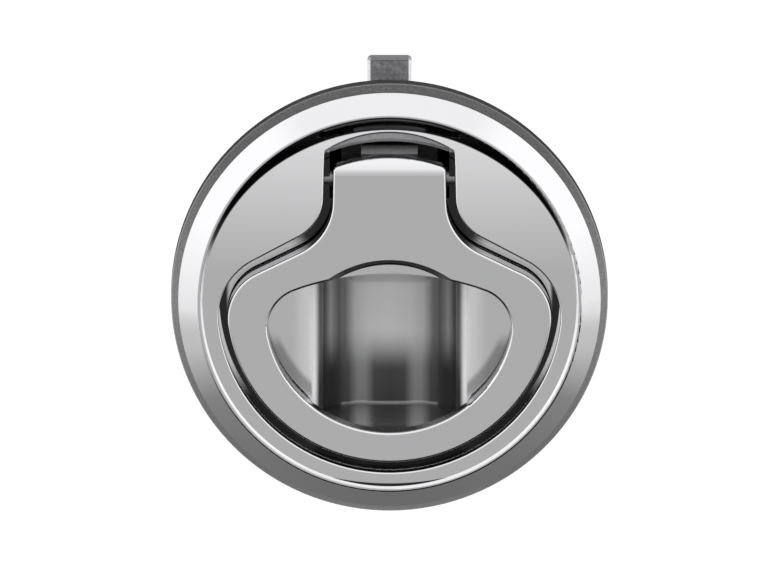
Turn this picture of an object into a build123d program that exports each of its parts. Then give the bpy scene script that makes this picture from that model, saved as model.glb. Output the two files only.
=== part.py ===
from build123d import *
import math
import os

# A round flush pull latch for a cabinet or locker door. The front is at -Y, +Z is up, and
# the origin lies on the barrel's axis where the gasket meets the door's outer face.
# All sizes are millimetres.

# Barrel, its pilot that fits the door's hole, and its thread
barrel_pilot_radius = 25.2
spigot_step = 1.0
spigot_gap = 0.3
thread_depth = 0.7
thread_pitch = 1.6
thread_ridge_width = 1.25
thread_ridge_height = 0.55
thread_nut_gap = 0.8
thread_ridges = 8
barrel_wall = 1.8
barrel_end = 26.0
panel_thickness = 5.0

# Flange and its bevelled rim
flange_overhang = 6.55
rim_taper = 1.05
bevel_run = 2.76
crest_round = 0.3
crest_inner_round = 0.45
crest_land = 0.5
gasket_thickness = 2.5
flange_side = 1.8
bevel_rise = 2.7
face_drop = 0.25
face_curve_start = 5.0
face_curve_radius = 110.0
face_curve_sweep = 30.0
recess_slope_depth = 4.0

# Pocket in the front and the pull handle in it
face_to_pan = 4.75
pan_floor_thickness = 2.6
handle_thickness = 3.6
ring_margin = 4.19
ring_band = 5.75
neck_half_top = 8.15
neck_half_base = 8.4
neck_inset = 2.3
neck_crown = 1.45
shoulder_reach = 18.0
shoulder_height = 5.0
shoulder_angle = 26.0
neck_sweep = 8.5
shoulder_round = 7.5
corner_round = 0.8
side_gap = 1.05
bottom_gap = 1.45
neck_gap = 1.3
shoulder_gap = 1.95
top_gap = 3.35
top_corner_gap = 2.1
pocket_shoulder_angle = 28.0
pocket_neck_sweep = 6.7
pocket_shoulder_round = 9.5
pocket_edge_round = 0.25
handle_roll_radius = 4.0
handle_roll_over = 1.45
handle_edge_round = 0.35
handle_back_round = 0.4

# Finger hole, thumb scoop and finger well
hole_centre_height = -1.3
hole_top = 4.2
hole_top_arc = 40.0
hole_corner = 6.0
scoop_radius = 15.3
scoop_top = 6.4
scoop_depth = 0.9
scoop_side_height = 1.0
well_half_width = 9.65
well_depth = 13.0
well_corner = 4.5
well_bottom = -18.8
well_mouth_top = 7.0
well_floor_top = 2.0
well_top_round = 4.0
well_bottom_round = 0.6
well_wall = 1.4
well_lip = 2.2

# Handle hinge and drive arm
pivot_y = -0.6
pivot_drop = 4.25
pin_radius = 1.5
pin_running_gap = 0.05
pin_fit_gap = 0.02
pin_left_end = -13.0
pin_length = 26.5
knuckle_radius = 3.0
hub_radius = 4.9
arm_half_width = 4.1
arm_length = 14.0
arm_rise = 8.0
arm_nose_radius = 1.6
arm_tip_half_height = 1.0
handle_swing = 30.0
window_half_width = 8.7
window_below_pivot = 2.6
arm_notch_below_pivot = 4.2
arm_notch_gap = 0.3
window_clearance = 1.5
window_corner_drop = 0.15
window_chamfer = 0.5
cheek_back = 2.6
cheek_half_height = 3.0
cheek_wall = 16.5
grub_screw_length = 3.0
grub_socket_depth = 1.5
grub_socket_across = 1.3

# Handle return springs, one each side of the arm
torsion_wire = 0.7
torsion_turns = 3.25
torsion_pitch = 0.78
torsion_shaft_gap = 0.25
torsion_arm_gap = 0.45
torsion_handle_leg = 3.0
torsion_body_leg = 4.2

# Rubber bumpers under the ring
bumper_radius = 1.6
bumper_recess = 1.2
bumper_inset = 2.45
bumper_angle = 45.0
bumper_fit = 0.05
bumper_gap = 0.2

# Bolt, its tongue and its guide
bolt_front = 15.6
bolt_thickness = 6.0
bolt_half_width = 7.0
bolt_bottom = -6.0
bolt_end_gap = 1.4
tongue_half_width = 3.2
tongue_reach = 7.3
tongue_straight = 1.8
tongue_tip_thickness = 1.6
tongue_side_chamfer = 0.45
tongue_corner = 0.7
ledge_half_width = 3.4
ledge_thickness = 2.6
ledge_play = 0.35
ledge_front = 11.6
gusset_drop = 3.4
slide_gap = 0.15
guide_gap = 0.3
guide_wall = 1.8
guide_top = 9.0
guide_bottom = -9.0
guide_foot_half_height = 4.0
guide_foot_centre = 2.0
guide_screw_x = 13.4
guide_boss_radius = 2.5
rail_inner = 4.6
rail_outer = 6.2
rail_top = 0.0

# Bolt spring and its post
spring_wire = 0.6
spring_radius = 2.0
spring_turns = 9
spring_bore_gap = 0.3
spring_bore_top = 4.0
shelf_top = -19.0
shelf_half_width = 5.0
shelf_depth = 9.0
post_radius = 1.2
post_top = -9.0
post_head_radius = 2.3
post_head = 0.6
post_shank = 2.0

# Ring nut and washer behind the door
washer_thickness = 0.8
washer_width = 4.9
nut_width = 3.8
nut_thickness = 5.0
nut_thread_gap = 0.1
nut_notches = 8
nut_notch_width = 4.0
nut_notch_depth = 1.6
nut_chamfer = 0.5

# Rear cover, its seal and its screws
cover_inset = 0.1
cover_thickness = 1.6
cover_rim = 0.6
seal_thickness = 0.8
seal_width = 1.7
cover_boss_inset = 2.1
cover_boss_radius = 2.4
cover_screws = 4
cover_screw_start = 45.0
screw_shank_radius = 1.15
screw_hole_gap = 0.05
screw_head_radius = 2.1
screw_head_height = 1.3
screw_length = 7.0
screw_slot_length = 2.5
screw_slot_width = 0.6
screw_slot_depth = 0.7
screw_head_round = 0.5

# Cutting shapes run past the solid by overshoot, and places closer than pick_tolerance are the same
overshoot = 1.0
pick_tolerance = 0.01

# Radii and heights that follow from the sizes above
spigot_radius = barrel_pilot_radius + spigot_step
thread_core_radius = barrel_pilot_radius - thread_depth
flange_radius = barrel_pilot_radius + flange_overhang
rim_radius = flange_radius - rim_taper
crest_radius = rim_radius - bevel_run
ring_radius = crest_radius - ring_margin
hole_radius = ring_radius - ring_band
bumper_circle = ring_radius - bumper_inset
neck_top = ring_radius - neck_inset
neck_corner = neck_top - neck_crown
pivot_z = neck_top - pivot_drop

# Places that follow from the sizes above
flange_back = -gasket_thickness
rim_y = flange_back - flange_side
crest_y = rim_y - bevel_rise
face_y = crest_y + face_drop
pan_y = face_y + face_to_pan
plate_back = pan_y + pan_floor_thickness
handle_back = face_y + handle_thickness
handle_mid = face_y + handle_thickness / 2
barrel_inner = thread_core_radius - barrel_wall
barrel_wall_mid = thread_core_radius - barrel_wall / 2
well_back = pan_y + well_depth
well_wall_mid = well_back + well_wall / 2
bolt_rear = bolt_front + bolt_thickness
bolt_mid = bolt_front + bolt_thickness / 2
nose_y = pivot_y + arm_length * math.cos(math.radians(arm_rise))
nose_z = pivot_z + arm_length * math.sin(math.radians(arm_rise))
arm_end = math.radians(arm_rise - handle_swing)
bolt_travel = nose_z - pivot_z - arm_length * math.sin(arm_end)
ledge_top = nose_z - arm_nose_radius - ledge_play
bolt_shoulder = barrel_inner - bolt_end_gap
tongue_tip = thread_core_radius + tongue_reach
cover_radius = thread_core_radius - cover_inset
cover_front = barrel_end + seal_thickness
cover_back = cover_front + cover_thickness
cover_screw_circle = barrel_inner - cover_boss_inset
screw_hole = screw_shank_radius + screw_hole_gap
pin_right_end = pin_left_end + pin_length
nut_front = panel_thickness + washer_thickness
nut_back = nut_front + nut_thickness
nut_bore = thread_core_radius + nut_thread_gap
nut_outer = nut_bore + nut_width
washer_outer = nut_bore + washer_width
thread_front = nut_back + thread_nut_gap
clear_of_all = 2 * flange_radius


def near(a, b):
    return abs(a - b) < pick_tolerance


def slab(outline, front, back):
    """An outline drawn in X and Z, made solid from y = front to y = back."""
    return Pos(0, back, 0) * extrude(Plane.XZ * outline, amount=back - front)


def side_solid(outline, half_width):
    """An outline drawn in Y and Z, made solid to both sides of the middle."""
    return extrude(Plane.YZ * outline, amount=half_width, both=True)


def box_between(low, high):
    size = [b - a for a, b in zip(low, high)]
    middle = [(a + b) / 2 for a, b in zip(low, high)]
    return Pos(*middle) * Box(*size)


def rod_y(radius, x, z, front, back):
    return slab(Pos(x, z) * Circle(radius), front, back)


def rod_x(radius, y, z, left, right):
    return Pos((left + right) / 2, y, z) * Rot(0, 90, 0) * Cylinder(radius, right - left)


def rod_z(radius, y, low, high):
    return Pos(0, y, (low + high) / 2) * Cylinder(radius, high - low)


def ring_y(outer, inner, front, back):
    return slab(Circle(outer) - Circle(inner), front, back)


def turned(points):
    """A closed outline of radius and y, turned about the barrel's axis."""
    return revolve(make_face(Polyline(*points, close=True)), Axis.Y)


def bell_outline(radius, centre, top, corner_z, half_top, half_base, reach, height, angle, sweep, bend):
    """Neck above, ring below: the outline shared by the handle and by its pocket."""
    slope = math.tan(math.radians(angle))
    base_z = height + (reach - half_base) * slope
    # where the shoulder's straight line, run outwards, meets the ring's circle
    a = 1 + slope**2
    b = -2 * slope * (height + reach * slope - centre)
    c = (height + reach * slope - centre) ** 2 - radius**2
    meet_x = (-b + math.sqrt(b * b - 4 * a * c)) / (2 * a)
    meet_z = height + (reach - meet_x) * slope
    path = [
        ThreePointArc((-half_top, corner_z), (0, top), (half_top, corner_z)),
        Line((half_top, corner_z), (half_base, base_z)),
        Line((half_base, base_z), (meet_x, meet_z)),
        ThreePointArc((meet_x, meet_z), (0, centre - radius), (-meet_x, meet_z)),
        Line((-meet_x, meet_z), (-half_base, base_z)),
        Line((-half_base, base_z), (-half_top, corner_z)),
    ]
    shape = make_face(path)
    corners = shape.vertices().sort_by(Axis.Y)
    shape = fillet(corners[0:2], bend)
    neck_roots = [v for v in shape.vertices() if near(abs(v.X), half_base) and near(v.Y, base_z)]
    shape = fillet(neck_roots, sweep)
    top_corners = [v for v in shape.vertices() if near(v.Y, corner_z)]
    return fillet(top_corners, corner_round)


def handle_outline():
    return bell_outline(ring_radius, 0, neck_top, neck_corner, neck_half_top, neck_half_base,
                        shoulder_reach, shoulder_height, shoulder_angle, neck_sweep, shoulder_round)


def pocket_outline():
    lift = shoulder_gap / math.cos(math.radians(shoulder_angle))
    return bell_outline(
        ring_radius + (side_gap + bottom_gap) / 2,
        (side_gap - bottom_gap) / 2,
        neck_top + top_gap,
        neck_corner + top_corner_gap,
        neck_half_top + neck_gap,
        neck_half_base + neck_gap,
        shoulder_reach,
        shoulder_height + lift,
        pocket_shoulder_angle,
        pocket_neck_sweep,
        pocket_shoulder_round,
    )


def finger_hole():
    round_part = Pos(0, hole_centre_height) * Circle(hole_radius)
    under_arc = Pos(0, hole_top - hole_top_arc) * Circle(hole_top_arc)
    shape = round_part & under_arc
    return fillet(shape.vertices(), hole_corner)


def well(grow):
    """The finger well's space, or with grow its outer wall: a rounded trough with a sloping top."""
    half = well_half_width + grow
    back = well_back + grow
    front = face_y
    section = Pos(0, (front + back) / 2) * Rectangle(2 * half, back - front)
    section = fillet(section.vertices().group_by(Axis.Y)[-1], well_corner + grow)
    trough = Pos(0, 0, -clear_of_all) * extrude(section, amount=2 * clear_of_all)
    slope = math.atan2(well_mouth_top - well_floor_top, well_back - pan_y)
    lift = grow / math.cos(slope)
    rise = math.tan(slope)
    points = [
        (front, well_mouth_top + lift + (pan_y - front) * rise),
        (back, well_mouth_top + lift - (back - pan_y) * rise),
        (back, well_bottom - grow),
        (front, well_bottom - grow),
    ]
    side = make_face(Polyline(*points, close=True))
    deep_top = [v for v in side.vertices() if near(v.X, back) and v.Y > well_bottom]
    side = fillet(deep_top, well_top_round + grow)
    deep_low = [v for v in side.vertices() if near(v.X, back) and near(v.Y, well_bottom - grow)]
    side = fillet(deep_low, well_bottom_round + grow)
    return trough & side_solid(side, half + overshoot)


def front_air():
    """Everything in front of the face, which is level below and curves back above."""
    curve = JernArc((face_y, face_curve_start), (0, 1), face_curve_radius, -face_curve_sweep)
    rest = Polyline(
        curve @ 1,
        (crest_y - overshoot, (curve @ 1).Y),
        (crest_y - overshoot, -clear_of_all),
        (face_y, -clear_of_all),
        curve @ 0,
    )
    return side_solid(make_face([curve, rest]), clear_of_all)


def pan_window():
    """The opening in the pocket's floor for the drive arm and the springs."""
    corner_z = neck_corner + window_clearance - window_corner_drop
    arc = ThreePointArc(
        (-window_half_width, corner_z),
        (0, neck_top + window_clearance),
        (window_half_width, corner_z),
    )
    low_left = (-window_half_width, pivot_z - window_below_pivot)
    low_right = (window_half_width, pivot_z - window_below_pivot)
    window = make_face([arc, Polyline(arc @ 1, low_right, low_left, arc @ 0)])
    notch = Rectangle(2 * (arm_half_width + arm_notch_gap), arm_notch_below_pivot)
    return window + Pos(0, pivot_z - arm_notch_below_pivot / 2) * notch


def screw_places():
    for n in range(cover_screws):
        angle = math.radians(cover_screw_start + 360 / cover_screws * n)
        yield cover_screw_circle * math.cos(angle), cover_screw_circle * math.sin(angle)


def bumper_places():
    angle = math.radians(bumper_angle)
    for side in (-1, 1):
        yield side * bumper_circle * math.sin(angle), -bumper_circle * math.cos(angle)


def thread_outline():
    """The sharp ridges of the thread behind the nut, from the front to the back."""
    points = []
    for n in range(thread_ridges):
        start = thread_front + thread_pitch * n
        points.append((thread_core_radius, start))
        points.append((thread_core_radius + thread_ridge_height, start + thread_ridge_width / 2))
        points.append((thread_core_radius, start + thread_ridge_width))
    return points


def make_body():
    pilot_end = panel_thickness - spigot_gap
    shell = turned([
        (0, crest_y),
        (crest_radius, crest_y),
        (rim_radius, rim_y),
        (flange_radius, flange_back),
        (spigot_radius, flange_back),
        (spigot_radius, -spigot_gap),
        (barrel_pilot_radius, -spigot_gap),
        (barrel_pilot_radius, pilot_end),
        (thread_core_radius, pilot_end),
        *thread_outline(),
        (thread_core_radius, barrel_end),
        (0, barrel_end),
    ])
    crest = [e for e in shell.edges().filter_by(GeomType.CIRCLE) if near(e.center().Y, crest_y)]
    shell = fillet(crest, crest_round)

    inner_crest = crest_radius - crest_land
    recess = turned([
        (0, crest_y - overshoot),
        (inner_crest + overshoot, crest_y - overshoot),
        (inner_crest - recess_slope_depth, crest_y + recess_slope_depth),
        (0, crest_y + recess_slope_depth),
    ])
    shell -= recess & front_air()
    at_crest = [e for e in shell.edges().filter_by(GeomType.CIRCLE) if near(e.center().Y, crest_y)]
    shell = fillet([e for e in at_crest if near(e.radius, inner_crest)], crest_inner_round)
    shell -= rod_y(barrel_inner, 0, 0, plate_back, barrel_end + overshoot)
    shell = add_inner_walls(shell)

    pocket = slab(pocket_outline(), crest_y - overshoot, pan_y)
    shell -= pocket
    walls = [e for e in shell.edges().filter_by(Axis.Y, reverse=True) if near(pocket.distance_to(e @ 0.5), 0)]
    shell = fillet([e for e in walls if not near((e @ 0.5).Y, pan_y)], pocket_edge_round)
    shell -= well(0)
    at_pan = [e for e in shell.edges().filter_by(Axis.Z) if near(e.center().Y, pan_y)]
    shell = fillet([e for e in at_pan if near(abs(e.center().X), well_half_width)], well_lip)
    shell -= slab(pan_window(), pan_y - overshoot, plate_back + overshoot)
    window_top = neck_top + window_clearance
    at_pan = [e for e in shell.edges().filter_by(GeomType.CIRCLE) if near(e.center().Y, pan_y)]
    shell = chamfer([e for e in at_pan if near((e @ 0.5).Z, window_top)], window_chamfer)
    return cut_holes(shell)


def add_inner_walls(shell):
    """The well's outer wall, the screw bosses, the pin's cheeks, the bolt's rails and the spring's shelf."""
    inside = rod_y(barrel_wall_mid, 0, 0, plate_back - overshoot, barrel_end)
    shell += well(well_wall) & inside
    for x, z in screw_places():
        shell += rod_y(cover_boss_radius, x, z, plate_back, barrel_end)
    for side in (-1, 1):
        shell += rod_y(guide_boss_radius, side * guide_screw_x, guide_foot_centre, plate_back, bolt_front)
    cheek_low = (window_half_width, plate_back, pivot_z - cheek_half_height)
    cheek_high = (cheek_wall, cheek_back, pivot_z + cheek_half_height)
    cheek = box_between(cheek_low, cheek_high) & inside
    rail = box_between((rail_inner, well_back, well_bottom), (rail_outer, bolt_front - guide_gap, rail_top))
    for wall in (cheek, rail):
        shell += wall
        shell += mirror(wall, Plane.YZ)
    shelf_low = (-shelf_half_width, well_wall_mid, -barrel_wall_mid)
    shelf_high = (shelf_half_width, bolt_mid + shelf_depth / 2, shelf_top)
    return shell + box_between(shelf_low, shelf_high)


def cut_holes(shell):
    """The pin's cross hole, the tongue's slot, the screw holes, the post's hole and the bumpers' seats."""
    shell -= rod_x(pin_radius + pin_fit_gap, pivot_y, pivot_z, pin_left_end, flange_radius)
    slot_half = tongue_half_width + slide_gap
    shell -= box_between(
        (-slot_half, bolt_front - slide_gap, barrel_inner - barrel_wall),
        (slot_half, bolt_rear + slide_gap, flange_radius),
    )
    for x, z in screw_places():
        shell -= rod_y(screw_hole, x, z, cover_back - screw_length - overshoot, barrel_end + overshoot)
    guide_hole_front = bolt_front + guide_wall - screw_length - overshoot
    for x in (-guide_screw_x, guide_screw_x):
        shell -= rod_y(screw_hole, x, guide_foot_centre, guide_hole_front, bolt_front + overshoot)
    shell -= rod_z(post_radius, bolt_mid, shelf_top - post_shank, shelf_top + overshoot)
    for x, z in bumper_places():
        shell -= rod_y(bumper_radius, x, z, pan_y - overshoot, pan_y + bumper_recess)
    return shell


def make_handle():
    plate = slab(handle_outline() - finger_hole(), face_y, handle_back)
    roll_top = neck_top + handle_roll_over
    side = make_face(Polyline(
        (face_y, -clear_of_all),
        (face_y, roll_top),
        (plate_back, roll_top),
        (plate_back, -clear_of_all),
        close=True,
    ))
    roll_corner = [v for v in side.vertices() if near(v.Y, roll_top) and near(v.X, face_y)]
    plate &= side_solid(fillet(roll_corner, handle_roll_radius), clear_of_all)
    front = plate.faces().filter_by(Plane.XZ).sort_by(Axis.Y)[0]
    front_edges = [e for e in front.edges() if not near(e.center().Z, roll_top - handle_roll_radius)]
    plate = fillet(front_edges, handle_edge_round)
    back = plate.faces().filter_by(Plane.XZ).sort_by(Axis.Y)[-1]
    plate = fillet(back.edges(), handle_back_round)
    scoop_centre = scoop_top - scoop_radius
    cone = turned([
        (0, face_y - overshoot),
        (scoop_radius + overshoot, face_y - overshoot),
        (scoop_radius - scoop_depth, face_y + scoop_depth),
        (0, face_y + scoop_depth),
    ])
    above = box_between(
        (-clear_of_all, face_y - overshoot, scoop_side_height),
        (clear_of_all, handle_back, scoop_top + overshoot),
    )
    plate -= (Pos(0, 0, scoop_centre) * cone) & above

    arm = side_solid(arm_outline(), arm_half_width)
    handle = plate + arm
    handle -= rod_x(pin_radius + pin_running_gap, pivot_y, pivot_z, -clear_of_all, clear_of_all)
    return handle


def arm_outline():
    """Knuckle round the pin, half a hub over it, an arm that narrows to its nose, and the web."""
    rise = math.radians(arm_rise)
    across = math.asin((knuckle_radius - arm_tip_half_height) / arm_length)
    top = rise + math.pi / 2 - across
    low = rise - math.pi / 2 + across
    quad = [
        (pivot_y + knuckle_radius * math.cos(top), pivot_z + knuckle_radius * math.sin(top)),
        (nose_y + arm_tip_half_height * math.cos(top), nose_z + arm_tip_half_height * math.sin(top)),
        (nose_y + arm_tip_half_height * math.cos(low), nose_z + arm_tip_half_height * math.sin(low)),
        (pivot_y + knuckle_radius * math.cos(low), pivot_z + knuckle_radius * math.sin(low)),
    ]
    shape = make_face(Polyline(*quad, close=True))
    shape += Pos(pivot_y, pivot_z) * Circle(knuckle_radius)
    over_pivot = Pos(pivot_y, pivot_z + hub_radius / 2) * Rectangle(2 * hub_radius, hub_radius)
    shape += Pos(pivot_y, pivot_z) * Circle(hub_radius) & over_pivot
    shape += Pos(nose_y, nose_z) * Circle(arm_nose_radius)
    web = Pos((handle_mid + pivot_y) / 2, pivot_z) * Rectangle(pivot_y - handle_mid, 2 * knuckle_radius)
    return shape + web


def make_torsion_spring(side):
    """Coils on the hinge pin, one leg up the neck's back and one leg on the window's lower edge."""
    coil_radius = pin_radius + torsion_shaft_gap + torsion_wire / 2
    inner_x = arm_half_width + torsion_arm_gap + torsion_wire / 2
    coil = Helix(pitch=torsion_pitch, height=torsion_turns * torsion_pitch, radius=coil_radius)
    handle_leg = Line(coil @ 0 - (coil % 0) * torsion_handle_leg, coil @ 0)
    body_leg = Line(coil @ 1, coil @ 1 + (coil % 1) * torsion_body_leg)
    path = Wire([handle_leg.edge(), coil.edge(), body_leg.edge()])
    section = Plane(origin=path @ 0, z_dir=path % 0) * Circle(torsion_wire / 2)
    spring = sweep(section, path=path, is_frenet=True)
    on_pin = Plane(origin=(inner_x, pivot_y, pivot_z), x_dir=(0, -1, 0), z_dir=(1, 0, 0))
    placed = on_pin.location * spring
    return placed if side > 0 else mirror(placed, Plane.YZ)


def make_bolt():
    low = (-bolt_half_width, bolt_front, bolt_bottom)
    high = (bolt_half_width, bolt_rear, bolt_shoulder)
    body = box_between(low, high)
    tongue_side = make_face(Polyline(
        (bolt_front, bolt_shoulder - overshoot),
        (bolt_front, tongue_tip),
        (bolt_front + tongue_tip_thickness, tongue_tip),
        (bolt_rear, thread_core_radius + tongue_straight),
        (bolt_rear, bolt_shoulder - overshoot),
        close=True,
    ))
    tongue = side_solid(tongue_side, tongue_half_width)
    tip_edges = [e for e in tongue.edges().filter_by(Axis.Y) if near(e.center().Z, tongue_tip)]
    tongue = fillet(tip_edges, tongue_corner)
    front_face = tongue.faces().sort_by(Axis.Y)[0]
    front_edges = [e for e in front_face.edges() if e.center().Z > bolt_shoulder]
    tongue = chamfer(front_edges, tongue_side_chamfer)
    gusset_low = ledge_top - ledge_thickness - gusset_drop
    ledge_side = make_face(Polyline(
        (bolt_mid, ledge_top),
        (ledge_front, ledge_top),
        (ledge_front, ledge_top - ledge_thickness),
        (bolt_front, gusset_low),
        (bolt_mid, gusset_low),
        close=True,
    ))
    ledge = side_solid(ledge_side, ledge_half_width)
    bore = spring_radius + spring_wire / 2 + spring_bore_gap
    return body + tongue + ledge - rod_z(bore, bolt_mid, bolt_bottom - overshoot, spring_bore_top)


def make_guide():
    inner = bolt_half_width + slide_gap
    outer = inner + guide_wall
    back = bolt_rear + slide_gap + guide_wall
    channel = box_between((-outer, bolt_front, guide_bottom), (outer, back, guide_top))
    foot_reach = guide_screw_x + guide_boss_radius
    foot = box_between(
        (-foot_reach, bolt_front, guide_foot_centre - guide_foot_half_height),
        (foot_reach, bolt_front + guide_wall, guide_foot_centre + guide_foot_half_height),
    )
    foot = fillet(foot.edges().filter_by(Axis.Y), guide_boss_radius)
    space = box_between(
        (-inner, bolt_front - overshoot, guide_bottom - overshoot),
        (inner, back - guide_wall, guide_top + overshoot),
    )
    guide = channel + foot - space
    for x in (-guide_screw_x, guide_screw_x):
        guide -= rod_y(screw_hole, x, guide_foot_centre, bolt_front - overshoot, back)
    return guide


def make_screw(x, z, seat):
    """A pan-head screw that enters from behind, with its head on y = seat."""
    head_back = seat + screw_head_height
    head = rod_y(screw_head_radius, x, z, seat, head_back)
    rim = [e for e in head.edges().filter_by(GeomType.CIRCLE) if near(e.center().Y, head_back)]
    screw = fillet(rim, screw_head_round) + rod_y(screw_shank_radius, x, z, seat - screw_length, seat)
    long = screw_slot_length / 2
    short = screw_slot_width / 2
    for half_x, half_z in ((long, short), (short, long)):
        screw -= box_between(
            (x - half_x, head_back - screw_slot_depth, z - half_z),
            (x + half_x, head_back + overshoot, z + half_z),
        )
    return screw


def make_bolt_spring():
    height = spring_bore_top - shelf_top - spring_wire - post_head
    coil = Helix(pitch=height / spring_turns, height=height, radius=spring_radius)
    section = Plane(origin=coil @ 0, z_dir=coil % 0) * Circle(spring_wire / 2)
    wire = sweep(section, path=coil, is_frenet=True)
    return Pos(0, bolt_mid, shelf_top + post_head + spring_wire / 2) * wire


def make_post():
    head = rod_z(post_head_radius, bolt_mid, shelf_top, shelf_top + post_head)
    post = rod_z(post_radius, bolt_mid, shelf_top - post_shank, post_top)
    return head + post


def make_washer():
    return ring_y(washer_outer, nut_bore, panel_thickness, nut_front)


def make_nut():
    nut = ring_y(nut_outer, nut_bore, nut_front, nut_back)
    outer_edges = [e for e in nut.edges().filter_by(GeomType.CIRCLE) if near(e.radius, nut_outer)]
    nut = chamfer(outer_edges, nut_chamfer)
    notch = Pos(nut_outer, 0) * Rectangle(2 * nut_notch_depth, nut_notch_width)
    step = 360 / nut_notches
    for n in range(nut_notches):
        turned_notch = Rot(0, 0, step * (n + 0.5)) * notch
        nut -= slab(turned_notch, nut_front - overshoot, nut_back + overshoot)
    return nut


def make_gasket():
    return ring_y(flange_radius, spigot_radius, flange_back, 0)


def make_cover():
    cover = slab(Circle(cover_radius), cover_front, cover_back)
    rim = [e for e in cover.edges().filter_by(GeomType.CIRCLE) if near(e.center().Y, cover_back)]
    cover = fillet(rim, cover_rim)
    for x, z in screw_places():
        cover -= rod_y(screw_hole, x, z, cover_front - overshoot, cover_back + overshoot)
    return cover


def make_seal():
    seal = ring_y(cover_radius, cover_radius - seal_width, barrel_end, cover_front)
    for x, z in screw_places():
        seal += rod_y(cover_boss_radius, x, z, barrel_end, cover_front)
        seal -= rod_y(screw_hole, x, z, barrel_end - overshoot, cover_front + overshoot)
    return seal


def make_pin():
    return rod_x(pin_radius, pivot_y, pivot_z, pin_left_end, pin_right_end)


def make_grub_screw():
    outer_end = pin_right_end + grub_screw_length
    hexagon = RegularPolygon(grub_socket_across / 2, 6, major_radius=False)
    socket = extrude(hexagon, amount=grub_socket_depth, both=True)
    screw = rod_x(pin_radius, pivot_y, pivot_z, pin_right_end, outer_end)
    return screw - Pos(outer_end, pivot_y, pivot_z) * Rot(0, 90, 0) * socket


def make_bumper(x, z):
    return rod_y(bumper_radius - bumper_fit, x, z, handle_back + bumper_gap, pan_y + bumper_recess)


def make_parts():
    parts = {
        "latch_body": make_body(),
        "pull_handle": make_handle(),
        "hinge_pin": make_pin(),
        "pin_grub_screw": make_grub_screw(),
        "latch_bolt": make_bolt(),
        "bolt_guide": make_guide(),
        "bolt_spring": make_bolt_spring(),
        "spring_post": make_post(),
        "flange_gasket": make_gasket(),
        "nut_washer": make_washer(),
        "ring_nut": make_nut(),
        "rear_cover": make_cover(),
        "cover_seal": make_seal(),
    }
    guide_seat = bolt_front + guide_wall
    for name, side, (x, z) in zip(("left", "right"), (-1, 1), bumper_places()):
        parts["handle_bumper_" + name] = make_bumper(x, z)
        parts["handle_spring_" + name] = make_torsion_spring(side)
        parts["guide_screw_" + name] = make_screw(side * guide_screw_x, guide_foot_centre, guide_seat)
    for n, (x, z) in enumerate(screw_places(), 1):
        parts["cover_screw_" + str(n)] = make_screw(x, z, cover_back)
    return parts


os.makedirs("parts", exist_ok=True)
for node, solid in make_parts().items():
    export_step(solid, "parts/" + node + ".step")
print("bolt travel", round(bolt_travel, 3), "mm for", handle_swing, "degrees")
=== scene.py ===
import math
import bpy
import numpy as np
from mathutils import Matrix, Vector


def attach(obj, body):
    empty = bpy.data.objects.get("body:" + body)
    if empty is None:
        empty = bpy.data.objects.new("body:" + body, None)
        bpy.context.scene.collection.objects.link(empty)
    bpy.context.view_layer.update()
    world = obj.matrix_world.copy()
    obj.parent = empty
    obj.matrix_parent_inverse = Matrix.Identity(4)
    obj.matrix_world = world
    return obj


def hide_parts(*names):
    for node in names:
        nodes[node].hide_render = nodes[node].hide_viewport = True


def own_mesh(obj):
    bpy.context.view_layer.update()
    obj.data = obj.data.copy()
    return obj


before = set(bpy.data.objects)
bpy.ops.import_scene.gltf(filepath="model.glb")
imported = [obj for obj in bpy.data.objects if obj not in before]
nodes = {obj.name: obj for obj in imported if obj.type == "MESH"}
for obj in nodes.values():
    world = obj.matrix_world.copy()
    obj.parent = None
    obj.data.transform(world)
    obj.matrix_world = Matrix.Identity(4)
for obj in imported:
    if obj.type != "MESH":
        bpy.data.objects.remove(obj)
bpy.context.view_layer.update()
mm = 0.001
white = (1.0, 1.0, 1.0, 1.0)
print("frame loaded:", len(nodes), "nodes")


# Node trees

def addNode(tree, kind, inputs=None, **settings):
    made = tree.nodes.new(kind)
    for name, value in settings.items():
        setattr(made, name, value)
    for name, value in (inputs or {}).items():
        made.inputs[name].default_value = value
    return made


def fill(tree, socket, value):
    # A socket takes either a link or a plain value
    if isinstance(value, bpy.types.NodeSocket):
        tree.links.new(value, socket)
    elif value is not None:
        socket.default_value = value


def calc(tree, operation, first, second=None, third=None):
    made = addNode(tree, "ShaderNodeMath", operation=operation)
    for socket, value in zip(made.inputs, (first, second, third)):
        fill(tree, socket, value)
    return made.outputs[0]


def product(tree, first, *others):
    for other in others:
        first = calc(tree, "MULTIPLY", first, other)
    return first


def between(tree, value, low, high, toLow=0.0, toHigh=1.0):
    # Smooth step of a value from low to high, and downwards where low is the larger
    made = addNode(tree, "ShaderNodeMapRange", interpolation_type="SMOOTHSTEP")
    labels = ("Value", "From Min", "From Max", "To Min", "To Max")
    for label, number in zip(labels, (value, low, high, toLow, toHigh)):
        fill(tree, made.inputs[label], number)
    return made.outputs["Result"]


def where(tree, *steps):
    # Product of smooth steps, each one a value and where it begins and ends
    return product(tree, *[between(tree, *step) for step in steps])


def toneCurve(tree, value, low, high, stops):
    # Grey tone read off a curve: each stop is a place between low and high, and its tone
    node = addNode(tree, "ShaderNodeValToRGB")
    node.color_ramp.interpolation = "LINEAR"
    for n, (place, tone) in enumerate(stops):
        stop = node.color_ramp.elements[n] if n < 2 else node.color_ramp.elements.new(1.0)
        stop.position = (place - low) / (high - low)
        stop.color = (tone, tone, tone, 1.0)
    share = calc(tree, "MULTIPLY_ADD", value, 1 / (high - low), -low / (high - low))
    tree.links.new(share, node.inputs["Fac"])
    return node.outputs["Color"]


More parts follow.
